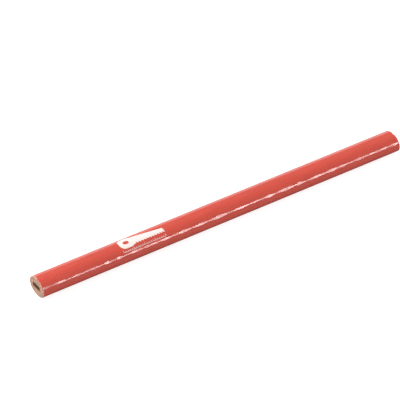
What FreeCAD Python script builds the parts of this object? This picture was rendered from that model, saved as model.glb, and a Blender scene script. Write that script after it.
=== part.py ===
import FreeCAD, Part
import math
import os
import Sketcher
from FreeCAD import Vector

# A flat oval carpenter pencil as it leaves the factory, cut square at both ends and not yet sharpened.
# It lies on one wide side. +X runs along it, +Y across its width and +Z up through its thickness.
# The origin is on the surface that it lies on, under its middle. All lengths are in millimetres.
#
# Two wooden slats are glued together round a flat graphite core. The glue is one film: a sleeve round
# the core, with a wing on each side that reaches out to the coats. A primer coat and a lacquer coat
# wrap the wood, and two hot-foil prints lie on the lacquer: a handsaw sign and a short rule.

DIMENSIONS = {
    # The oval over the lacquer: a narrow flat land along the middle of each wide side, which the pencil
    # lies on, and between each land and side arc a wide arc tangent to both
    "length": 175.0,
    "width": 11.0,
    "thickness": 8.2,
    "side_radius": 3.4,
    "land_width": 1.2,
    # Layers
    "lacquer": 0.15,
    "primer": 0.1,
    "glue": 0.1,
    "foil": 0.03,
    # Core, whose centre is this far towards +Y and +Z of the pencil's axis
    "core_width": 5.1,
    "core_thickness": 2.1,
    "core_corner": 0.6,
    "core_offset_y": 0.25,
    "core_offset_z": 0.2,
    # Both prints start at this distance from the near end, which is the one at -X
    "print_start": 38.5,
    # Handsaw sign: the handle is a rounded block with a hand hole, and the blade narrows to its toe
    "handle_length": 6.4,
    "handle_height": 5.6,
    "handle_corner": 1.9,
    "hole_length": 2.6,
    "hole_height": 1.9,
    "hole_corner": 0.9,
    "sign_length": 20.5,
    "sign_centre": -0.2,
    "heel_height": 4.6,
    "toe_height": 2.3,
    "tooth_pitch": 1.25,
    "tooth_depth": 0.6,
    "tooth_tip": 0.2,
    "tooth_count": 11,
    # Rule: a base line with a short tick each millimetre and a long tick each five millimetres
    "rule_length": 20.2,
    "rule_edge": -4.15,
    "rule_line": 0.12,
    "tick_width": 0.15,
    "short_tick": 0.45,
    "short_tick_count": 21,
    "long_tick": 0.75,
    "long_tick_count": 5,
}


class Size:
    """A number together with the sheet expression that keeps it bound to the driving cells."""

    def __init__(self, value, text):
        self.value = value
        self.text = text

    def combine(self, other, sign, value):
        return Size(value, f"({self.text} {sign} {other.text})")

    def __add__(self, other):
        return self.combine(other, "+", self.value + other.value)

    def __sub__(self, other):
        return self.combine(other, "-", self.value - other.value)

    def __mul__(self, other):
        return self.combine(other, "*", self.value * other.value)

    def __truediv__(self, other):
        return self.combine(other, "/", self.value / other.value)


def number(value):
    return Size(value, str(value))


def cell(alias):
    return Size(DIMENSIONS[alias], f"dims.{alias}")


ZERO = number(0)
TWO = number(2)

doc = FreeCAD.newDocument("carpenter_pencil")
sheet = doc.addObject("Spreadsheet::Sheet", "dims")
for row, (alias, value) in enumerate(DIMENSIONS.items(), start=1):
    sheet.set(f"A{row}", str(value))
    sheet.setAlias(f"A{row}", alias)
doc.recompute()


# ---------------------------------------------------------------- sketches

def new_sketch(body, name, plane_role):
    """A sketch on one of the body's own origin planes."""
    plane = next(feature for feature in body.Origin.OriginFeatures if feature.Role == plane_role)
    sketch = body.newObject("Sketcher::SketchObject", name)
    sketch.AttachmentSupport = (plane, "")
    sketch.MapMode = "FlatFace"
    return sketch


def bind(sketch, kind, *references, size):
    """Add a dimension to the sketch and bind it to the sheet."""
    index = sketch.addConstraint(Sketcher.Constraint(kind, *references, size.value))
    name = f"{kind}_{index}"
    sketch.renameConstraint(index, name)
    sketch.setExpression(f"Constraints.{name}", size.text)


def place_point(sketch, geometry, vertex, x, y):
    """Hold a point of the sketch at (x, y) from the sketch's origin."""
    bind(sketch, "DistanceX", -1, 1, geometry, vertex, size=x)
    bind(sketch, "DistanceY", -1, 1, geometry, vertex, size=y)


def add_arc(sketch, centre_x, centre_y, radius, start, end):
    circle = Part.Circle(Vector(centre_x, centre_y, 0), Vector(0, 0, 1), radius)
    return sketch.addGeometry(Part.ArcOfCircle(circle, start, end))


def add_line(sketch, start, end):
    return sketch.addGeometry(Part.LineSegment(Vector(*start, 0), Vector(*end, 0)))


def join(sketch, kind, first, second):
    """Join the end of one edge to the start of the next, Coincident or Tangent."""
    sketch.addConstraint(Sketcher.Constraint(kind, first, 2, second, 1))


def join_ring(sketch, kind, edges):
    for first, second in zip(edges, edges[1:] + edges[:1]):
        join(sketch, kind, first, second)


# The side arcs are centred on the joint plane, and the wide arcs level with the ends of the lands. Insets
# leave all the centres as they are. JUNCTION is the angle at which a side arc meets a wide arc. These
# values start the sketches near their solution, which the constraints then hold to the sheet.
SIDE_CENTRE = cell("width") / TWO - cell("side_radius")
HALF_LAND = cell("land_width").value / 2
HALF_THICKNESS = cell("thickness").value / 2
ARC_REACH = cell("width").value / 2 - HALF_LAND
SIDE_RADIUS = cell("side_radius").value
WIDE_RADIUS = ((ARC_REACH ** 2 + HALF_THICKNESS ** 2 - 2 * ARC_REACH * SIDE_RADIUS)
               / (2 * (HALF_THICKNESS - SIDE_RADIUS)))
WIDE_DROP = WIDE_RADIUS - HALF_THICKNESS
JUNCTION = math.atan2(WIDE_DROP, ARC_REACH - SIDE_RADIUS)


def add_side_arcs(sketch, inset, start, end):
    """The right side arc from the start to the end angle, and its mirror image on the left."""
    centre = SIDE_CENTRE.value
    radius = SIDE_RADIUS - inset.value
    right = add_arc(sketch, centre, 0, radius, start, end)
    left = add_arc(sketch, -centre, 0, radius, math.pi - end, math.pi - start)
    sketch.addConstraint(Sketcher.Constraint("PointOnObject", right, 3, -1))
    bind(sketch, "DistanceX", -1, 1, right, 3, size=SIDE_CENTRE)
    sketch.addConstraint(Sketcher.Constraint("Symmetric", right, 3, left, 3, -1, 1))
    bind(sketch, "Radius", right, size=cell("side_radius") - inset)
    sketch.addConstraint(Sketcher.Constraint("Equal", right, left))
    return right, left


def add_dome(sketch, inset, first_side, last_side, side):
    """Wide arc, land and wide arc between two side arcs. The side is 1 for the top, -1 for the bottom."""
    turn = 0 if side == 1 else math.pi
    radius = WIDE_RADIUS - inset.value
    rise = side * (HALF_THICKNESS - inset.value)
    drop = -side * WIDE_DROP
    edge = side * HALF_LAND
    first = add_arc(sketch, edge, drop, radius, turn + JUNCTION, turn + math.pi / 2)
    land = add_line(sketch, (edge, rise), (-edge, rise))
    last = add_arc(sketch, -edge, drop, radius, turn + math.pi / 2, turn + math.pi - JUNCTION)
    chain = [first_side, first, land, last, last_side]
    for before, after in zip(chain, chain[1:]):
        join(sketch, "Tangent", before, after)
    sketch.addConstraint(Sketcher.Constraint("Horizontal", land))
    sketch.addConstraint(Sketcher.Constraint("Equal", first, last))
    bind(sketch, "DistanceX", land, 2, land, 1, size=cell("land_width") * number(side))
    bind(sketch, "DistanceY", -1, 1, land, 1, size=(cell("thickness") / TWO - inset) * number(side))


def draw_oval(sketch, inset):
    """The whole oval, the inset below the lacquer's surface all round."""
    right, left = add_side_arcs(sketch, inset, -JUNCTION, JUNCTION)
    add_dome(sketch, inset, right, left, 1)
    add_dome(sketch, inset, left, right, -1)


def draw_slat(sketch, inset, rise):
    """The part of the oval above a flat face that lies the rise above the joint plane."""
    radius = SIDE_RADIUS - inset.value
    foot = math.asin(rise.value / radius)
    edge = SIDE_CENTRE.value + radius * math.cos(foot)
    right, left = add_side_arcs(sketch, inset, foot, JUNCTION)
    add_dome(sketch, inset, right, left, 1)
    flat = add_line(sketch, (-edge, rise.value), (edge, rise.value))
    join(sketch, "Coincident", left, flat)
    join(sketch, "Coincident", flat, right)
    sketch.addConstraint(Sketcher.Constraint("Horizontal", flat))
    bind(sketch, "DistanceY", -1, 1, flat, 1, size=rise)


def draw_wings(sketch, inset, rise):
    """The glue's band along the joint plane, between the flat faces of the slats."""
    radius = SIDE_RADIUS - inset.value
    foot = math.asin(rise.value / radius)
    edge = SIDE_CENTRE.value + radius * math.cos(foot)
    right, left = add_side_arcs(sketch, inset, -foot, foot)
    upper = add_line(sketch, (edge, rise.value), (-edge, rise.value))
    lower = add_line(sketch, (-edge, -rise.value), (edge, -rise.value))
    join_ring(sketch, "Coincident", [right, upper, left, lower])
    for line in (upper, lower):
        sketch.addConstraint(Sketcher.Constraint("Horizontal", line))
    bind(sketch, "DistanceY", -1, 1, upper, 1, size=rise)
    bind(sketch, "DistanceY", lower, 1, -1, 1, size=rise)


def draw_rounded_block(sketch, length, height, corner, centre_x=ZERO, centre_y=ZERO):
    """A rectangle with rounded corners about a centre."""
    reach_x = length / TWO - corner
    reach_y = height / TWO - corner
    low_x, high_x = (centre_x - reach_x).value, (centre_x + reach_x).value
    low_y, high_y = (centre_y - reach_y).value, (centre_y + reach_y).value
    radius = corner.value
    quarter = math.pi / 2
    edges = [
        add_line(sketch, (low_x, low_y - radius), (high_x, low_y - radius)),
        add_arc(sketch, high_x, low_y, radius, -quarter, 0),
        add_line(sketch, (high_x + radius, low_y), (high_x + radius, high_y)),
        add_arc(sketch, high_x, high_y, radius, 0, quarter),
        add_line(sketch, (high_x, high_y + radius), (low_x, high_y + radius)),
        add_arc(sketch, low_x, high_y, radius, quarter, math.pi),
        add_line(sketch, (low_x - radius, high_y), (low_x - radius, low_y)),
        add_arc(sketch, low_x, low_y, radius, math.pi, -quarter),
    ]
    join_ring(sketch, "Tangent", edges)
    bottom, first_corner, right, opposite_corner, top, _, left, last_corner = edges
    for line in (bottom, top):
        sketch.addConstraint(Sketcher.Constraint("Horizontal", line))
    for line in (right, left):
        sketch.addConstraint(Sketcher.Constraint("Vertical", line))
    for arc in edges[3::2]:
        sketch.addConstraint(Sketcher.Constraint("Equal", first_corner, arc))
    bind(sketch, "Radius", first_corner, size=corner)
    place_point(sketch, opposite_corner, 3, centre_x + reach_x, centre_y + reach_y)
    place_point(sketch, last_corner, 3, centre_x - reach_x, centre_y - reach_y)


def draw_polygon(sketch, corners):
    """A closed outline of straight edges, each corner held from the sketch's origin."""
    edges = [
        add_line(sketch, (x.value, y.value), (next_x.value, next_y.value))
        for (x, y), (next_x, next_y) in zip(corners, corners[1:] + corners[:1])
    ]
    join_ring(sketch, "Coincident", edges)
    for edge, (x, y) in zip(edges, corners):
        place_point(sketch, edge, 1, x, y)


def draw_box(sketch, low_x, low_y, high_x, high_y):
    draw_polygon(sketch, [(low_x, low_y), (high_x, low_y), (high_x, high_y), (low_x, high_y)])


# ---------------------------------------------------------------- bodies and features

def new_body(label, start=ZERO, turn=0):
    """A body whose local origin is on the pencil's axis, the start away from the near end."""
    body = doc.addObject("PartDesign::Body", label)
    body.Label = label
    body.Placement = FreeCAD.Placement(Vector(0, 0, 0), FreeCAD.Rotation(Vector(1, 0, 0), turn))
    body.setExpression("Placement.Base.x", (start - cell("length") / TWO).text)
    body.setExpression("Placement.Base.z", (cell("thickness") / TWO).text)
    return body


def pad(body, name, plane_role, height, draw, *arguments):
    """Draw a section on the plane and pad it along the plane's normal."""
    sketch = new_sketch(body, f"{name}_section", plane_role)
    draw(sketch, *arguments)
    feature = body.newObject("PartDesign::Pad", name)
    feature.Profile = sketch
    feature.setExpression("Length", height.text)
    doc.recompute()
    return feature


def cut(body, name, plane_role, draw, *arguments):
    """Draw a section on the plane and cut it right through, both ways. It has to remove material."""
    volume_before = body.Shape.Volume
    sketch = new_sketch(body, f"{name}_section", plane_role)
    draw(sketch, *arguments)
    feature = body.newObject("PartDesign::Pocket", name)
    feature.Profile = sketch
    feature.Type = "ThroughAll"
    feature.SideType = "Symmetric"
    doc.recompute()
    if body.Shape.Volume >= volume_before:
        raise RuntimeError(f"{name} removed nothing")
    return feature


def repeat(body, name, feature, pitch, count):
    """Repeat a feature along X, at the pitch. The count is a cell too."""
    axis = next(item for item in body.Origin.OriginFeatures if item.Role == "X_Axis")
    pattern = body.newObject("PartDesign::LinearPattern", name)
    pattern.Originals = [feature]
    pattern.Direction = (axis, [""])
    pattern.setExpression("Length", (pitch * (count - number(1))).text)
    pattern.setExpression("Occurrences", count.text)
    body.Tip = pattern
    doc.recompute()
    return pattern


# ---------------------------------------------------------------- wood, core and glue

WOOD_INSET = cell("lacquer") + cell("primer")
HALF_GLUE = cell("glue") / TWO
CORE_SIZE = (cell("core_width"), cell("core_thickness"), cell("core_corner"))
GLUE_SIZE = (
    cell("core_width") + TWO * cell("glue"),
    cell("core_thickness") + TWO * cell("glue"),
    cell("core_corner") + cell("glue"),
)
CORE_CENTRE = (cell("core_offset_y"), cell("core_offset_z"))


def make_slat(label, side):
    """Half of the wooden casing, with a groove for its part of the core. The lower half, on side -1, is
    drawn as the upper one and turned over, so its groove is drawn on the other side of the axis."""
    body = new_body(label, turn=0 if side == 1 else 180)
    groove_centre = [offset * number(side) for offset in CORE_CENTRE]
    pad(body, f"{label}_blank", "YZ_Plane", cell("length"), draw_slat, WOOD_INSET, HALF_GLUE)
    cut(body, f"{label}_groove", "YZ_Plane", draw_rounded_block, *GLUE_SIZE, *groove_centre)
    return body


def make_core():
    body = new_body("graphite_core")
    pad(body, "core_bar", "YZ_Plane", cell("length"), draw_rounded_block, *CORE_SIZE, *CORE_CENTRE)
    return body


def make_glue_film():
    body = new_body("glue_film")
    pad(body, "glue_wings", "YZ_Plane", cell("length"), draw_wings, WOOD_INSET, HALF_GLUE)
    pad(body, "glue_sleeve", "YZ_Plane", cell("length"), draw_rounded_block, *GLUE_SIZE, *CORE_CENTRE)
    cut(body, "glue_bore", "YZ_Plane", draw_rounded_block, *CORE_SIZE, *CORE_CENTRE)
    return body


# ---------------------------------------------------------------- coats

def draw_ring(sketch, outer_inset, inner_inset):
    draw_oval(sketch, outer_inset)
    draw_oval(sketch, inner_inset)


def make_coat(label, outer_inset, inner_inset):
    """An open-ended skin between two concentric ovals."""
    body = new_body(label)
    pad(body, f"{label}_skin", "YZ_Plane", cell("length"), draw_ring, outer_inset, inner_inset)
    return body


# ---------------------------------------------------------------- foil prints

def make_print(label, stencil, foil_skin):
    """The part of the foil skin that lies over a stencil."""
    print_object = doc.addObject("Part::Common", label)
    print_object.Label = label
    print_object.Base = stencil
    print_object.Tool = foil_skin
    doc.recompute()
    return print_object


def make_saw_stencil():
    """A handsaw from the side, handle at the near end and teeth towards -Y."""
    body = new_body("saw_stencil", start=cell("print_start"))
    height = cell("thickness")
    centre = cell("sign_centre")
    sole = centre - cell("heel_height") / TWO
    heel = cell("handle_length") - cell("handle_corner")
    toe = cell("sign_length")
    blade = [
        (heel, sole),
        (toe, sole),
        (toe, sole + cell("toe_height")),
        (heel, sole + cell("heel_height")),
    ]
    pad(body, "blade", "XY_Plane", height, draw_polygon, blade)
    pad(body, "handle", "XY_Plane", height, draw_rounded_block, cell("handle_length"),
        cell("handle_height"), cell("handle_corner"), cell("handle_length") / TWO, centre)
    cut(body, "hand_hole", "XY_Plane", draw_rounded_block, cell("hole_length"), cell("hole_height"),
        cell("hole_corner"), cell("handle_length") / TWO, centre)
    first_tooth = cell("sign_length") - cell("tooth_pitch") * cell("tooth_count")
    gullet = [
        (first_tooth, sole - cell("tooth_depth")),
        (first_tooth + cell("tooth_pitch") - cell("tooth_tip"), sole - cell("tooth_depth")),
        (first_tooth + cell("tooth_pitch") - cell("tooth_tip"), sole),
        (first_tooth + cell("tooth_tip"), sole + cell("tooth_depth")),
        (first_tooth, sole),
    ]
    first_gullet = cut(body, "gullet", "XY_Plane", draw_polygon, gullet)
    repeat(body, "gullets", first_gullet, cell("tooth_pitch"), cell("tooth_count"))
    return body


def make_rule_stencil():
    """A base line along -Y with ticks that rise from it towards the sign."""
    body = new_body("rule_stencil", start=cell("print_start"))
    height = cell("thickness")
    edge = cell("rule_edge")
    line_top = edge + cell("rule_line")
    pad(body, "base_line", "XY_Plane", height, draw_box, ZERO, edge, cell("rule_length"), line_top)
    for name in ("short_tick", "long_tick"):
        top = line_top + cell(name)
        tick = pad(body, name, "XY_Plane", height, draw_box, ZERO, edge, cell("tick_width"), top)
        count = cell(f"{name}_count")
        pitch = (cell("rule_length") - cell("tick_width")) / (count - number(1))
        repeat(body, f"{name}s", tick, pitch, count)
    return body


# ---------------------------------------------------------------- assembly

foil_skin = make_coat("foil_skin", ZERO - cell("foil"), ZERO)
parts = [
    make_slat("upper_slat", 1),
    make_slat("lower_slat", -1),
    make_core(),
    make_glue_film(),
    make_coat("primer_coat", cell("lacquer"), WOOD_INSET),
    make_coat("lacquer_coat", ZERO, cell("lacquer")),
    make_print("foil_pictogram", make_saw_stencil(), foil_skin),
    make_print("foil_rule", make_rule_stencil(), foil_skin),
]
doc.recompute()

failed = [item.Name for item in doc.Objects if {"Invalid", "Error"} & set(item.State)]
if failed:
    raise RuntimeError(f"failed objects: {failed}")
for part in parts:
    if part.Shape.isNull() or not part.Shape.isValid() or len(part.Shape.Solids) != 1:
        raise RuntimeError(f"{part.Label} is not one valid solid")

# Everything but the foil fills the oval prism, with no gap and no overlap
outline = new_body("outline")
pad(outline, "outline_prism", "YZ_Plane", cell("length"), draw_oval, ZERO)
filled_volume = sum(part.Shape.Volume for part in parts if not part.Label.startswith("foil"))
print(f"oval prism {outline.Shape.Volume:.2f} mm3, pieces {filled_volume:.2f} mm3")
if abs(filled_volume - outline.Shape.Volume) > 1e-4 * outline.Shape.Volume:
    raise RuntimeError("the pieces do not fill the oval")

os.makedirs("parts", exist_ok=True)
for part in parts:
    part.Shape.exportStep(f"parts/{part.Label}.step")
    box = part.Shape.BoundBox
    print(f"{part.Label:16s} {part.Shape.Volume:9.3f} mm3  x {box.XMin:7.2f} {box.XMax:7.2f}"
          f"  y {box.YMin:6.3f} {box.YMax:6.3f}  z {box.ZMin:6.3f} {box.ZMax:6.3f}")
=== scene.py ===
import math
import random

import bmesh
import bpy
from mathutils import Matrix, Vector, noise


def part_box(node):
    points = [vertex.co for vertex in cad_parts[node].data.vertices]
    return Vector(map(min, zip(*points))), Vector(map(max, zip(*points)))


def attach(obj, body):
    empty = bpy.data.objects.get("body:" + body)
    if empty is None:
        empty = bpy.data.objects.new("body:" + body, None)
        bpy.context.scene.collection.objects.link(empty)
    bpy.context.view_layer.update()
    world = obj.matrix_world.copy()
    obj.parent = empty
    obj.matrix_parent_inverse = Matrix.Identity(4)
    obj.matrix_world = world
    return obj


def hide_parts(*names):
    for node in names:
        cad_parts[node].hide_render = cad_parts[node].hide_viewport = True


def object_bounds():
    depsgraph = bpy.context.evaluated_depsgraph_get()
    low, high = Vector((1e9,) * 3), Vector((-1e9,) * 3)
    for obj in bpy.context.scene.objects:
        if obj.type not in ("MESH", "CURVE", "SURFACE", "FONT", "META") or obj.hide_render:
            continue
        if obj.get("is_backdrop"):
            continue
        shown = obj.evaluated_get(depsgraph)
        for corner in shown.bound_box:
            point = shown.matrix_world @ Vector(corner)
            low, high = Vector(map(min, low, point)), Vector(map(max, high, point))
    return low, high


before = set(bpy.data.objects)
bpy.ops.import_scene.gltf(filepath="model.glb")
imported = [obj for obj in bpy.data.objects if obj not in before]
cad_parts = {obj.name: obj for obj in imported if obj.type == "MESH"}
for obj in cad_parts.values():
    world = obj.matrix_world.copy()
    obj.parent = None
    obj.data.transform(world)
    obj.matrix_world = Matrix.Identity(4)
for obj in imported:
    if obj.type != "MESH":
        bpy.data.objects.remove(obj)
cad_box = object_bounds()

# A flat oval carpenter pencil. The CAD pieces give every place and size. The skin of lacquer, the
# primer, the two wooden slats, the core and the foil prints are rebuilt here with the detail of real
# ones: grain and planed facets that show through the lacquer, ragged coats at the cut ends, saw marks
# on the end grain.
# Metres throughout, in the frame of the CAD: +X along the pencil, +Z up, the pencil lying on z = 0.

MM = 0.001
TURN = 2 * math.pi


# ---------------------------------------------------------------- sizes, read from the frame

lacquer_low, lacquer_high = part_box("lacquer_coat")
primer_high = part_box("primer_coat")[1]
slat_low, slat_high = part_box("upper_slat")
core_low, core_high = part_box("graphite_core")
glue_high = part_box("glue_film")[1]

NEAR_X = lacquer_low.x
FAR_X = lacquer_high.x
AXIS_Z = (lacquer_low.z + lacquer_high.z) / 2
HALF_WIDTH = (lacquer_high.y - lacquer_low.y) / 2
HALF_THICKNESS = (lacquer_high.z - lacquer_low.z) / 2
SIDE_RADIUS = 3.4 * MM
HALF_LAND = 0.6 * MM

PRIMER_INSET = lacquer_high.z - primer_high.z
WOOD_INSET = lacquer_high.z - slat_high.z
CORE_HALF_WIDTH = (core_high.y - core_low.y) / 2
CORE_HALF_HEIGHT = (core_high.z - core_low.z) / 2
CORE_CORNER = 0.6 * MM
CORE_Y = (core_high.y + core_low.y) / 2
CORE_Z = (core_high.z + core_low.z) / 2 - AXIS_Z
GLUE = glue_high.z - core_high.z
SLAT_RISE = slat_low.z - AXIS_Z


# ---------------------------------------------------------------- the oval section

def arc(centre_y, centre_z, radius, first, last):
    """A stretch of outline: its length, and the point and normal angle at a share of the way along."""
    def at(share):
        angle = first + (last - first) * share
        return centre_y + radius * math.cos(angle), centre_z + radius * math.sin(angle), angle
    return abs(last - first) * radius, at


def straight(start, end, normal):
    def at(share):
        return (start[0] + (end[0] - start[0]) * share, start[1] + (end[1] - start[1]) * share, normal)
    return math.dist(start, end), at


def walk(stretches, count, closed):
    """Points with normal angles, evenly spaced along the stretches."""
    total = sum(length for length, _ in stretches)
    step = total / (count if closed else count - 1)
    points = []
    for index in range(count):
        along = index * step
        for length, at in stretches:
            if along <= length or at is stretches[-1][1]:
                points.append(at(min(along / length, 1.0)))
                break
            along -= length
    return points


ARC_REACH = HALF_WIDTH - HALF_LAND
WIDE_RADIUS = ((ARC_REACH ** 2 + HALF_THICKNESS ** 2 - 2 * ARC_REACH * SIDE_RADIUS)
               / (2 * (HALF_THICKNESS - SIDE_RADIUS)))
WIDE_DROP = WIDE_RADIUS - HALF_THICKNESS
SIDE_CENTRE = HALF_WIDTH - SIDE_RADIUS
JUNCTION = math.atan2(WIDE_DROP, ARC_REACH - SIDE_RADIUS)


def dome(inset):
    """The upper half of the oval, without its side arcs, from +Y to -Y."""
    radius = WIDE_RADIUS - inset
    rise = HALF_THICKNESS - inset
    return [
        arc(HALF_LAND, -WIDE_DROP, radius, JUNCTION, math.pi / 2),
        straight((HALF_LAND, rise), (-HALF_LAND, rise), math.pi / 2),
        arc(-HALF_LAND, -WIDE_DROP, radius, math.pi / 2, math.pi - JUNCTION),
    ]


def turned(stretches):
    """The same stretches turned half a turn about the pencil's axis."""
    def turn_at(at):
        def turned_at(share):
            y, z, angle = at(share)
            return -y, -z, angle + math.pi
        return turned_at
    return [(length, turn_at(at)) for length, at in stretches]


def oval(count, inset):
    """The closed oval, counter-clockwise from the lower end of the +Y side."""
    half = [arc(SIDE_CENTRE, 0, SIDE_RADIUS - inset, -JUNCTION, JUNCTION)] + dome(inset)
    return walk(half + turned(half), count, closed=True)


def slat_outline(count, inset, rise):
    """The part of the oval above the joint plane by the rise, from +Y to -Y."""
    radius = SIDE_RADIUS - inset
    foot = math.asin(rise / radius)
    right = arc(SIDE_CENTRE, 0, radius, foot, JUNCTION)
    left = arc(-SIDE_CENTRE, 0, radius, math.pi - JUNCTION, math.pi - foot)
    return walk([right] + dome(inset) + [left], count, closed=False)


def block_half(half_width, half_height, corner, foot):
    """The part above the foot of a block with rounded corners, centred on the origin, from +Y to -Y."""
    reach = half_width - corner
    top = half_height - corner
    quarter = math.pi / 2
    return [
        straight((half_width, foot), (half_width, top), 0),
        arc(reach, top, corner, 0, quarter),
        straight((reach, half_height), (-reach, half_height), quarter),
        arc(-reach, top, corner, quarter, math.pi),
        straight((-half_width, top), (-half_width, foot), math.pi),
    ]


def core_outline(count):
    """The core's section about its own centre."""
    half = block_half(CORE_HALF_WIDTH, CORE_HALF_HEIGHT, CORE_CORNER, 0)
    return walk(half + turned(half), count, closed=True)


def groove_outline(count, side):
    """The groove of one slat. The slat on side -1 is turned over, so its groove lies the other way."""
    centre_y = side * CORE_Y
    centre_z = side * CORE_Z
    half = block_half(CORE_HALF_WIDTH + GLUE, CORE_HALF_HEIGHT + GLUE, CORE_CORNER + GLUE,
                      SLAT_RISE - centre_z)
    return [(y + centre_y, z + centre_z) for y, z, _ in walk(half, count, closed=False)]


# ---------------------------------------------------------------- relief of wood and lacquer

GRAIN_RISE_Y = 0.085     # how far the fibres lean towards +Y and +Z along the pencil
GRAIN_RISE_Z = 0.045
FIBRE_PITCH = 0.62 * MM
FIBRE_RUN = 4.5 * MM
SWELL_PITCH = 3.5 * MM
SWELL_RUN = 22 * MM
RIDGE_DEPTH = 0.007 * MM  # from the highest ridge of the grain to its deepest hollow
SWELL_DEPTH = 0.03 * MM   # the same for the slow swell under it

# The planer left flat facets along each shoulder, of chance length, gap and depth. One set is drawn. The
# front upper and back lower shoulders have it from the near end, and the other two from the far end.
FACET_LEAN = math.radians(37)
FACET_TWIST = math.radians(2.5)
FACET_SEED = 11
FACET_LENGTH = (2.5 * MM, 9 * MM)
FACET_GAP = (0.2 * MM, 3.5 * MM)
FACET_DEPTH = (0.012 * MM, 0.045 * MM)


def draw_facets():
    """Start, end and depth of each facet, from just before the near end to the far end."""
    draw = random.Random(FACET_SEED)
    facets = []
    start = -FACET_LENGTH[0]
    while start < FAR_X - NEAR_X:
        end = start + draw.uniform(*FACET_LENGTH)
        facets.append((start, end, draw.uniform(*FACET_DEPTH)))
        start = end + draw.uniform(*FACET_GAP)
    return facets


FACETS = draw_facets()


def fibre_noise(x, y, z, run, pitch, seed):
    """Noise drawn out along the wood's fibres, about -1 to 1."""
    across_y = (y - GRAIN_RISE_Y * x) / pitch
    across_z = (z - GRAIN_RISE_Z * x) / pitch
    return noise.noise(Vector((x / run + seed, across_y, across_z)))


def facet_depth(x, y, z):
    """How deep a planed facet cuts under the nominal oval."""
    along = (x if y * z < 0 else -x) - NEAR_X
    for start, end, depth in FACETS:
        share = (along - start) / (end - start)
        if 0 < share < 1:
            lean = FACET_LEAN + FACET_TWIST * (share - 0.5)
            reach = abs(y) * math.cos(lean) + abs(z) * math.sin(lean)
            edge = SIDE_CENTRE * math.cos(lean) + SIDE_RADIUS
            return max(reach - edge + depth * math.sin(math.pi * share), 0.0)
    return 0.0


def lacquer_relief(x, y, z):
    """Depth of the lacquer's surface under its nominal oval. The wood's grain and the planer's facets
    show through the lacquer."""
    ridges = fibre_noise(x, y, z, FIBRE_RUN, FIBRE_PITCH, 3.1)
    swell = fibre_noise(x, y, z, SWELL_RUN, SWELL_PITCH, 7.7)
    grain = RIDGE_DEPTH * (0.5 + 0.5 * ridges) + SWELL_DEPTH * (0.5 + 0.5 * swell)
    return max(grain, 0.0) + facet_depth(x, y, z)


def smooth(share):
    share = min(max(share, 0.0), 1.0)
    return share * share * (3 - 2 * share)


# Chips where the saw tore the coats: direction round the section from +Y, half width and depth
NEAR_CHIPS = (
    (50, 1.9 * MM, 1.15 * MM),
    (82, 1.1 * MM, 0.6 * MM),
    (118, 0.35 * MM, 0.3 * MM),
    (163, 0.6 * MM, 0.28 * MM),
    (214, 0.5 * MM, 0.45 * MM),
    (287, 0.7 * MM, 0.5 * MM),
    (338, 0.4 * MM, 0.35 * MM),
)
FAR_CHIPS = (
    (12, 0.5 * MM, 0.4 * MM),
    (96, 0.7 * MM, 0.35 * MM),
    (151, 0.4 * MM, 0.5 * MM),
    (239, 0.9 * MM, 0.6 * MM),
    (302, 0.4 * MM, 0.3 * MM),
)


def edge_setback(y, z, chips, seed):
    """How far the edge of a coat stands back from the cut end, at a place round the section."""
    ragged = 0.5 + 0.5 * noise.noise(Vector((y / (0.45 * MM), z / (0.45 * MM), seed)))
    nibbles = noise.noise(Vector((y / (0.16 * MM), z / (0.16 * MM), seed + 5)))
    setback = 0.05 * MM + 0.1 * MM * ragged + 0.03 * MM * nibbles
    for direction, half_width, depth in chips:
        angle = math.radians(direction)
        centre_y = HALF_WIDTH * math.cos(angle)
        centre_z = HALF_THICKNESS * math.sin(angle)
        gap = math.dist((y, z), (centre_y, centre_z)) / half_width
        setback += depth * smooth(1.25 - gap) * (0.8 + 0.35 * nibbles)
    return max(setback, 0.02 * MM)


# ---------------------------------------------------------------- mesh building

AROUND_SKIN = 264        # points round each coat
SPARSE_ALONG = 12        # stations along a face with no relief
LIP_FADE = 3 * MM        # how far from the end the mesh takes up the ragged edge
FOIL = 0.03 * MM         # thickness of the prints


def show(name, mesh, sharp_angle, material, replaced):
    """Show a finished mesh as a piece that rides on the pencil and stands for its CAD node."""
    mesh.shade_smooth()
    mesh.set_sharp_from_angle(angle=math.radians(sharp_angle))
    mesh.materials.append(material)
    piece = bpy.data.objects.new(name, mesh)
    bpy.context.scene.collection.objects.link(piece)
    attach(piece, "root")
    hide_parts(replaced)


def new_piece(name, vertices, faces, material, replaced):
    """A piece made from the points and faces of a closed mesh."""
    mesh = bpy.data.meshes.new(name)
    mesh.from_pydata(vertices, [], faces)
    mesh.validate()
    shape = bmesh.new()
    shape.from_mesh(mesh)
    bmesh.ops.recalc_face_normals(shape, faces=shape.faces)
    shape.to_mesh(mesh)
    shape.free()
    show(name, mesh, 50, material, replaced)


def stations(count):
    """Places along the pencil from 0 to 1, close together near both ends."""
    dense = [0.0, 0.0003, 0.0008, 0.0016, 0.0026, 0.004, 0.0055, 0.0075]
    middle = [0.01 + 0.98 * index / (count - 1) for index in range(count)]
    return dense + middle + [1 - share for share in reversed(dense)]


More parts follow.
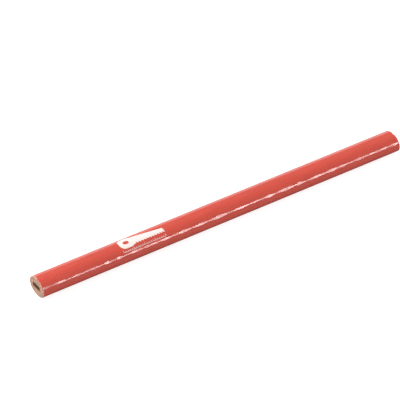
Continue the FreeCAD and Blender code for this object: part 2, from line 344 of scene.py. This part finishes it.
def build_skin(name, outer_inset, inner_inset, chip_share, relief_share, along,
               material, replaced):
    """A coat as a closed tube: relief on its outer face, and a ragged lip at each end."""
    around = AROUND_SKIN
    outer = oval(around, outer_inset)
    inner = oval(around, inner_inset)
    length = FAR_X - NEAR_X
    lip = 0.3 * (inner_inset - outer_inset)
    near_setback = [chip_share * edge_setback(y, z, NEAR_CHIPS, 1.3) for y, z, _ in outer]
    far_setback = [chip_share * edge_setback(y, z, FAR_CHIPS, 8.9) for y, z, _ in outer]
    vertices = []
    shares = stations(along)
    inner_shares = stations(SPARSE_ALONG)

    def ring(share, outline, round_off):
        for index, (y, z, angle) in enumerate(outline):
            x = NEAR_X + length * share
            from_near = length * share
            from_far = length * (1 - share)
            x += near_setback[index] * (1 - smooth(from_near / LIP_FADE))
            x -= far_setback[index] * (1 - smooth(from_far / LIP_FADE))
            depth = round_off
            if outline is outer:
                depth += relief_share * lacquer_relief(x, y, z)
            vertices.append((x, y - depth * math.cos(angle), AXIS_Z + z - depth * math.sin(angle)))

    for share in shares:
        at_end = share in (shares[0], shares[-1])
        ring(share, outer, lip if at_end else 0.0)
    for share in reversed(inner_shares):
        ring(share, inner, 0.0)
    rings = len(shares) + len(inner_shares)
    faces = []
    for index in range(rings):
        first = index * around
        second = ((index + 1) % rings) * around
        for step in range(around):
            after = (step + 1) % around
            faces.append((first + step, first + after, second + after, second + step))
    new_piece(name, vertices, faces, material, replaced)


def cap_depth(x_end, y, z, edge_share):
    """Relief of the sawn end grain: fibre pores, slanted saw marks and a softened rim."""
    pores = noise.noise(Vector((y / (0.14 * MM), z / (0.14 * MM), x_end * 90)))
    tufts = noise.noise(Vector((y / (0.5 * MM), z / (0.5 * MM), x_end * 50)))
    slant = (z + 0.35 * y) / (0.42 * MM)
    marks = math.sin(TURN * slant + 2.2 * tufts)
    rim = smooth((edge_share - 0.9) / 0.1)
    share = 0.45 + 0.28 * pores + 0.2 * tufts + 0.14 * marks
    return 0.05 * MM * min(max(share, 0.0), 1.0) + 0.04 * MM * rim


def build_slat(name, side, replaced):
    """One wooden half as a closed solid, with end grain modelled on both cut faces."""
    across = 150
    deep = 22
    groove = groove_outline(across, side)
    outer = slat_outline(across, WOOD_INSET, SLAT_RISE)
    section = []
    for (in_y, in_z), (out_y, out_z, _) in zip(groove, outer):
        column = []
        for step in range(deep):
            share = step / (deep - 1)
            column.append((in_y + (out_y - in_y) * share, in_z + (out_z - in_z) * share, share))
        section.append(column)
    vertices = []
    for x_end, inward in ((NEAR_X, 1), (FAR_X, -1)):
        for column in section:
            for y, z, share in column:
                depth = cap_depth(x_end, y, side * z, share)
                vertices.append((x_end + inward * depth, side * y, AXIS_Z + side * z))
    faces = []
    cap = across * deep
    for start in (0, cap):
        for column in range(across - 1):
            for step in range(deep - 1):
                corner = start + column * deep + step
                faces.append((corner, corner + 1, corner + deep + 1, corner + deep))
    border = [column * deep + deep - 1 for column in range(across)]
    border += [(across - 1) * deep + step for step in range(deep - 2, -1, -1)]
    border += [column * deep for column in range(across - 2, -1, -1)]
    border += list(range(1, deep - 1))
    for first, second in zip(border, border[1:] + border[:1]):
        faces.append((first, second, second + cap, first + cap))
    new_piece(name, vertices, faces, wood_material(f"{name}_wood", side), replaced)


def build_core(material):
    """The graphite core as a closed bar, with a slightly crumbled edge on its cut faces."""
    around = 120
    outline = core_outline(around)
    scales = (1.0, 0.985, 0.95, 0.88, 0.78, 0.66, 0.54, 0.42, 0.3, 0.18, 0.08)
    vertices = []
    for x_end, inward in ((NEAR_X, 1), (FAR_X, -1)):
        for scale in scales:
            for y, z, _ in outline:
                grit = noise.noise(Vector((y * scale / (0.12 * MM), z * scale / (0.12 * MM), x_end * 70)))
                crumb = noise.noise(Vector((y / (0.3 * MM), z / (0.3 * MM), x_end * 30)))
                edge = smooth((scale - 0.93) / 0.07) * (0.035 + 0.03 * crumb) * MM
                depth = (0.02 + 0.012 * grit) * MM + edge
                place = (x_end + inward * depth, CORE_Y + y * scale, AXIS_Z + CORE_Z + z * scale)
                vertices.append(place)
    faces = []
    cap = around * len(scales)
    for start in (0, cap):
        for level in range(len(scales) - 1):
            for step in range(around):
                first = start + level * around
                after = (step + 1) % around
                faces.append((first + step, first + after, first + around + after, first + around + step))
        last = start + cap - around
        faces.append(tuple(range(last, last + around)))
    for step in range(around):
        after = (step + 1) % around
        faces.append((step, after, cap + after, cap + step))
    new_piece("core_bar", vertices, faces, material, "graphite_core")


def nominal_offset(y, z):
    """Height above the lacquer's nominal oval, on its upper side, and the outward normal there."""
    side_y = abs(y) - HALF_LAND
    if side_y <= 0:
        return z - HALF_THICKNESS, 0.0, 1.0
    reach = math.hypot(side_y, z + WIDE_DROP)
    return reach - WIDE_RADIUS, math.copysign(side_y / reach, y), (z + WIDE_DROP) / reach


def build_foil(name, node, material):
    """A foil print: the CAD outline cut into small faces, then pressed onto the real lacquer surface."""
    shape = bmesh.new()
    shape.from_mesh(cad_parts[node].data)
    bmesh.ops.remove_doubles(shape, verts=shape.verts, dist=1e-7)
    low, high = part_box(node)
    for axis, spacing in ((Vector((1, 0, 0)), 0.5 * MM), (Vector((0, 1, 0)), 0.22 * MM)):
        span = (high - low).dot(axis)
        cuts = int(span / spacing)
        for index in range(1, cuts):
            place = low + axis * (span * index / cuts)
            geometry = shape.verts[:] + shape.edges[:] + shape.faces[:]
            bmesh.ops.bisect_plane(shape, geom=geometry, dist=1e-8, plane_co=place, plane_no=axis)
    for vertex in shape.verts:
        x, y, z = vertex.co.x, vertex.co.y, vertex.co.z - AXIS_Z
        offset, normal_y, normal_z = nominal_offset(y, z)
        height = FOIL if offset > FOIL / 2 else -FOIL
        y -= offset * normal_y
        z -= offset * normal_z
        lift = height - lacquer_relief(x, y, z)
        vertex.co.y = y + lift * normal_y
        vertex.co.z = AXIS_Z + z + lift * normal_z
    mesh = bpy.data.meshes.new(name)
    shape.to_mesh(mesh)
    shape.free()
    show(name, mesh, 35, material, node)


# ---------------------------------------------------------------- materials

class Nodes:
    """Short names for building a node material."""

    def __init__(self, name):
        self.material = bpy.data.materials.new(name)
        self.material.use_nodes = True
        self.tree = self.material.node_tree
        self.shader = self.tree.nodes["Principled BSDF"]
        self.place = self.add("ShaderNodeTexCoord").outputs["Object"]

    def add(self, kind, **settings):
        node = self.tree.nodes.new(kind)
        for key, value in settings.items():
            setattr(node, key, value)
        return node

    def link(self, source, target):
        self.tree.links.new(source, target)

    def stretched(self, scale, turn=(0, 0, 0)):
        """The object's coordinates, turned and scaled into a texture's space."""
        mapping = self.add("ShaderNodeMapping", vector_type="TEXTURE")
        mapping.inputs["Rotation"].default_value = turn
        mapping.inputs["Scale"].default_value = scale
        self.link(self.place, mapping.inputs["Vector"])
        return mapping.outputs["Vector"]

    def along(self):
        """The place along the pencil."""
        split = self.add("ShaderNodeSeparateXYZ")
        self.link(self.place, split.inputs["Vector"])
        return split.outputs["X"]

    def total(self, first, second):
        node = self.add("ShaderNodeMath", operation="ADD")
        self.link(first, node.inputs[0])
        self.link(second, node.inputs[1])
        return node.outputs["Value"]

    def noise(self, vector, detail=3.0, roughness=0.55):
        texture = self.add("ShaderNodeTexNoise")
        texture.inputs["Scale"].default_value = 1.0
        texture.inputs["Detail"].default_value = detail
        texture.inputs["Roughness"].default_value = roughness
        self.link(vector, texture.inputs["Vector"])
        return texture.outputs["Fac"]

    def ramp(self, source, stops):
        ramp = self.add("ShaderNodeValToRGB")
        elements = ramp.color_ramp.elements
        while len(elements) < len(stops):
            elements.new(0.5)
        for element, (position, colour) in zip(elements, stops):
            element.position = position
            element.color = (*colour, 1.0)
        self.link(source, ramp.inputs["Fac"])
        return ramp.outputs["Color"]

    def spread(self, source, low, high, first=0.3, last=0.7):
        """Map a noise's usual values, or another span of values, to a range."""
        node = self.add("ShaderNodeMapRange")
        node.inputs["From Min"].default_value = first
        node.inputs["From Max"].default_value = last
        node.inputs["To Min"].default_value = low
        node.inputs["To Max"].default_value = high
        self.link(source, node.inputs["Value"])
        return node.outputs["Result"]

    def multiply(self, first, second):
        node = self.add("ShaderNodeMix", data_type="RGBA", blend_type="MULTIPLY")
        node.inputs["Factor"].default_value = 1.0
        colours = [socket for socket in node.inputs if socket.type == "RGBA"]
        for socket, colour in zip(colours, (first, second)):
            self.link(colour, socket)
        return next(socket for socket in node.outputs if socket.type == "RGBA")

    def bump(self, height, distance, under=None):
        node = self.add("ShaderNodeBump")
        node.inputs["Strength"].default_value = 1.0
        node.inputs["Distance"].default_value = distance
        self.link(height, node.inputs["Height"])
        if under is not None:
            self.link(under, node.inputs["Normal"])
        return node.outputs["Normal"]

    def finish(self, colour, roughness, normal=None, **constants):
        self.link(colour, self.shader.inputs["Base Color"])
        self.link(roughness, self.shader.inputs["Roughness"])
        if normal is not None:
            self.link(normal, self.shader.inputs["Normal"])
        for key, value in constants.items():
            self.shader.inputs[key.replace("_", " ")].default_value = value
        return self.material


FIBRE_TURN = (0, -math.atan(GRAIN_RISE_Z), math.atan(GRAIN_RISE_Y))


def lacquer_material():
    """Red gloss lacquer, lighter on the grain's ridges, and duller near the end with the print."""
    nodes = Nodes("red_lacquer")
    fibres = nodes.noise(nodes.stretched((9 * MM, 0.4 * MM, 0.4 * MM), FIBRE_TURN))
    cloud = nodes.noise(nodes.stretched((14 * MM, 5 * MM, 5 * MM)), detail=2.0)
    tint = nodes.ramp(fibres, ((0.3, (0.54, 0.058, 0.036)), (0.7, (0.59, 0.068, 0.043))))
    shade = nodes.ramp(cloud, ((0.3, (0.93, 0.93, 0.93)), (0.7, (1.0, 1.0, 1.0))))
    colour = nodes.multiply(tint, shade)
    peel = nodes.noise(nodes.stretched((0.5 * MM, 0.35 * MM, 0.35 * MM)), detail=2.0)
    smear = nodes.noise(nodes.stretched((4 * MM, 1.2 * MM, 1.2 * MM), FIBRE_TURN), detail=1.0)
    normal = nodes.bump(peel, 0.001 * MM, under=nodes.bump(fibres, 0.004 * MM))
    gloss = nodes.spread(smear, 0.1, 0.22, first=0.4, last=0.62)
    handled = nodes.spread(nodes.along(), 0.07, 0.0, first=NEAR_X, last=NEAR_X + 35 * MM)
    roughness = nodes.total(gloss, handled)
    return nodes.finish(colour, roughness, normal, IOR=1.52)


def primer_material():
    """Pale pink filler, torn along the cut edge."""
    nodes = Nodes("primer")
    grain = nodes.noise(nodes.stretched((0.12 * MM, 0.12 * MM, 0.12 * MM)), detail=4.0)
    colour = nodes.ramp(grain, ((0.3, (0.62, 0.3, 0.24)), (0.7, (0.78, 0.47, 0.39))))
    return nodes.finish(colour, nodes.spread(grain, 0.7, 0.9), nodes.bump(grain, 0.02 * MM))


def wood_material(name, side):
    """Pale casing wood. Its fibres run along the pencil, and each slat has its own growth rings."""
    nodes = Nodes(name)
    fibres = nodes.noise(nodes.stretched((6 * MM, 0.09 * MM, 0.09 * MM), FIBRE_TURN),
                         detail=5.0, roughness=0.7)
    blotch = nodes.noise(nodes.stretched((10 * MM, 1.4 * MM, 1.4 * MM), FIBRE_TURN), detail=2.0)
    rings = nodes.add("ShaderNodeTexWave", wave_type="RINGS", rings_direction="X", wave_profile="SAW")
    mapping = nodes.add("ShaderNodeMapping", vector_type="POINT")
    mapping.inputs["Location"].default_value = (0, 0.031 * side, 0.024)
    mapping.inputs["Rotation"].default_value = (0.3 * side, GRAIN_RISE_Z, -GRAIN_RISE_Y)
    nodes.link(nodes.place, mapping.inputs["Vector"])
    nodes.link(mapping.outputs["Vector"], rings.inputs["Vector"])
    rings.inputs["Scale"].default_value = 260
    rings.inputs["Distortion"].default_value = 1.5
    rings.inputs["Detail"].default_value = 2.0
    rings.inputs["Detail Scale"].default_value = 2.0
    growth = nodes.ramp(rings.outputs["Fac"], (
        (0.0, (0.7, 0.44, 0.325)), (0.72, (0.6, 0.355, 0.26)), (0.95, (0.42, 0.235, 0.165))))
    pores = nodes.ramp(fibres, ((0.36, (0.55, 0.49, 0.45)), (0.5, (1.0, 1.0, 1.0))))
    patches = nodes.ramp(blotch, ((0.35, (0.8, 0.84, 0.84)), (0.62, (1.06, 1.02, 1.02))))
    colour = nodes.multiply(nodes.multiply(growth, pores), patches)
    return nodes.finish(colour, nodes.spread(fibres, 0.75, 0.95), nodes.bump(fibres, 0.02 * MM),
                        Specular_IOR_Level=0.25)


def graphite_material():
    """Baked graphite and clay: dark, a little warm, with smeared shiny streaks."""
    nodes = Nodes("graphite")
    grit = nodes.noise(nodes.stretched((0.3 * MM, 0.22 * MM, 0.22 * MM)), detail=5.0, roughness=0.7)
    streak = nodes.noise(nodes.stretched((0.3 * MM, 0.9 * MM, 0.14 * MM), (0.35, 0, 0)), detail=3.0)
    colour = nodes.ramp(grit, ((0.34, (0.03, 0.013, 0.006)), (0.66, (0.14, 0.072, 0.036))))
    return nodes.finish(colour, nodes.spread(streak, 0.45, 0.8), nodes.bump(grit, 0.05 * MM),
                        Specular_IOR_Level=0.15)


def glue_material():
    """Dried wood glue, amber and a little translucent."""
    nodes = Nodes("wood_glue")
    cloud = nodes.noise(nodes.stretched((1 * MM, 0.3 * MM, 0.3 * MM)))
    colour = nodes.ramp(cloud, ((0.3, (0.36, 0.2, 0.1)), (0.7, (0.5, 0.3, 0.16))))
    return nodes.finish(colour, nodes.spread(cloud, 0.4, 0.6), nodes.bump(cloud, 0.01 * MM))


def foil_material():
    """White hot foil, semi-gloss, a little thin in places so that the red tints it."""
    nodes = Nodes("white_foil")
    thin = nodes.noise(nodes.stretched((0.5 * MM, 0.14 * MM, 0.14 * MM), FIBRE_TURN), detail=4.0)
    colour = nodes.ramp(thin, ((0.26, (0.78, 0.46, 0.41)), (0.42, (0.79, 0.7, 0.665))))
    return nodes.finish(colour, nodes.spread(thin, 0.3, 0.5), nodes.bump(thin, 0.006 * MM))


# ---------------------------------------------------------------- pieces

def build_pencil():
    build_skin("lacquer_skin", 0.0, PRIMER_INSET, 1.0, 1.0, 300,
               lacquer_material(), "lacquer_coat")
    build_skin("primer_skin", PRIMER_INSET, WOOD_INSET, 0.35, 0.0, SPARSE_ALONG,
               primer_material(), "primer_coat")
    build_slat("upper_half", 1, "upper_slat")
    build_slat("lower_half", -1, "lower_slat")
    build_core(graphite_material())
    foil = foil_material()
    build_foil("saw_sign", "foil_pictogram", foil)
    build_foil("rule_print", "foil_rule", foil)
    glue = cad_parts["glue_film"]
    glue.data.materials.clear()
    glue.data.materials.append(glue_material())


# ---------------------------------------------------------------- studio

CAMERA_PLACE = (-0.5575, -0.8144, 0.7622)
CAMERA_AIM = (0.0006, 0.0155, 0.0)
LENS_MM = 275.0
SENSOR_MM = 36.0
FLOOR_REACH = 6.0
FLOOR_GLOW = 0.79        # how far the white floor is overexposed
ROOM_LEVEL = 0.53
SWEEP_LEVEL = 1.1

# Each lamp's place, size and power in watts. The strip's reflection runs along the front shoulder. The
# fill lightens the front side, and the overhead lamp lights the wide side with the print.
LAMPS = {
    "strip": ((0.53, -0.92, 0.56), (0.6, 0.13), 4.0),
    "fill": ((0.1, -1.15, 0.2), (1.6, 0.8), 0.7),
    "overhead": ((-0.55, 0.62, 1.02), (0.8, 0.8), 16.5),
}


def aim(piece, place, target):
    """Put a camera or lamp at a place, looking at a target."""
    piece.location = place
    direction = Vector(target) - Vector(place)
    piece.rotation_euler = direction.to_track_quat("-Z", "Y").to_euler()


def build_camera():
    camera = bpy.data.cameras.new("camera")
    camera.lens = LENS_MM
    camera.sensor_width = SENSOR_MM
    camera.clip_start = 0.05
    camera.clip_end = 50.0
    view = bpy.data.objects.new("camera", camera)
    bpy.context.scene.collection.objects.link(view)
    aim(view, CAMERA_PLACE, CAMERA_AIM)
    bpy.context.scene.camera = view


def build_lamp(name, place, size, power):
    """A soft rectangular lamp aimed at the middle of the pencil."""
    lamp = bpy.data.lights.new(name, "AREA")
    lamp.shape = "RECTANGLE"
    lamp.size, lamp.size_y = size
    lamp.energy = power
    holder = bpy.data.objects.new(name, lamp)
    bpy.context.scene.collection.objects.link(holder)
    aim(holder, place, (0, 0, AXIS_Z))


def build_floor():
    mesh = bpy.data.meshes.new("floor")
    corners = [(x * FLOOR_REACH, y * FLOOR_REACH, 0) for x, y in ((-1, -1), (1, -1), (1, 1), (-1, 1))]
    mesh.from_pydata(corners, [], [(0, 1, 2, 3)])
    nodes = Nodes("pale_floor")
    paper = nodes.noise(nodes.stretched((0.4, 0.4, 0.4)), detail=2.0)
    colour = nodes.ramp(paper, ((0.3, (0.49, 0.49, 0.49)), (0.7, (0.51, 0.51, 0.51))))
    # Overexposed where the camera sees it, but it throws no extra light up at the pencil
    seen = nodes.add("ShaderNodeLightPath").outputs["Is Camera Ray"]
    glow = nodes.spread(seen, 0.0, FLOOR_GLOW, first=0.0, last=1.0)
    nodes.link(glow, nodes.shader.inputs["Emission Strength"])
    mesh.materials.append(nodes.finish(colour, nodes.spread(paper, 0.8, 0.9),
                                       Emission_Color=(1.0, 1.0, 1.0, 1.0)))
    floor = bpy.data.objects.new("floor", mesh)
    bpy.context.scene.collection.objects.link(floor)
    floor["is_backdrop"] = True


def build_world():
    """A dim room with a white sweep low behind the pencil."""
    world = bpy.data.worlds.new("room")
    world.use_nodes = True
    tree = world.node_tree
    background = tree.nodes["Background"]
    place = tree.nodes.new("ShaderNodeTexCoord")
    parts = tree.nodes.new("ShaderNodeSeparateXYZ")
    tree.links.new(place.outputs["Generated"], parts.inputs["Vector"])

    def graded(axis, low, high, at_low, at_high):
        level = tree.nodes.new("ShaderNodeMapRange")
        level.interpolation_type = "SMOOTHSTEP"
        level.inputs["From Min"].default_value = low
        level.inputs["From Max"].default_value = high
        level.inputs["To Min"].default_value = at_low
        level.inputs["To Max"].default_value = at_high
        tree.links.new(parts.outputs[axis], level.inputs["Value"])
        return level.outputs["Result"]

    sweep = tree.nodes.new("ShaderNodeMath")
    sweep.operation = "MULTIPLY_ADD"
    tree.links.new(graded("Y", -0.3, 0.6, 0.0, SWEEP_LEVEL), sweep.inputs[0])
    tree.links.new(graded("Z", 0.15, 0.5, 1.0, 0.0), sweep.inputs[1])
    sweep.inputs[2].default_value = ROOM_LEVEL
    tree.links.new(sweep.outputs["Value"], background.inputs["Strength"])
    background.inputs["Color"].default_value = (1.0, 1.0, 1.0, 1.0)
    bpy.context.scene.world = world


def build_studio():
    build_world()
    build_floor()
    build_camera()
    for name, (place, size, power) in LAMPS.items():
        build_lamp(name, place, size, power)
    bpy.context.scene.view_settings.view_transform = "Standard"


build_pencil()
build_studio()

boxes = {"cad": cad_box, "visual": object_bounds()}
{key: [list(map(float, corner)) for corner in box] for key, box in boxes.items()}
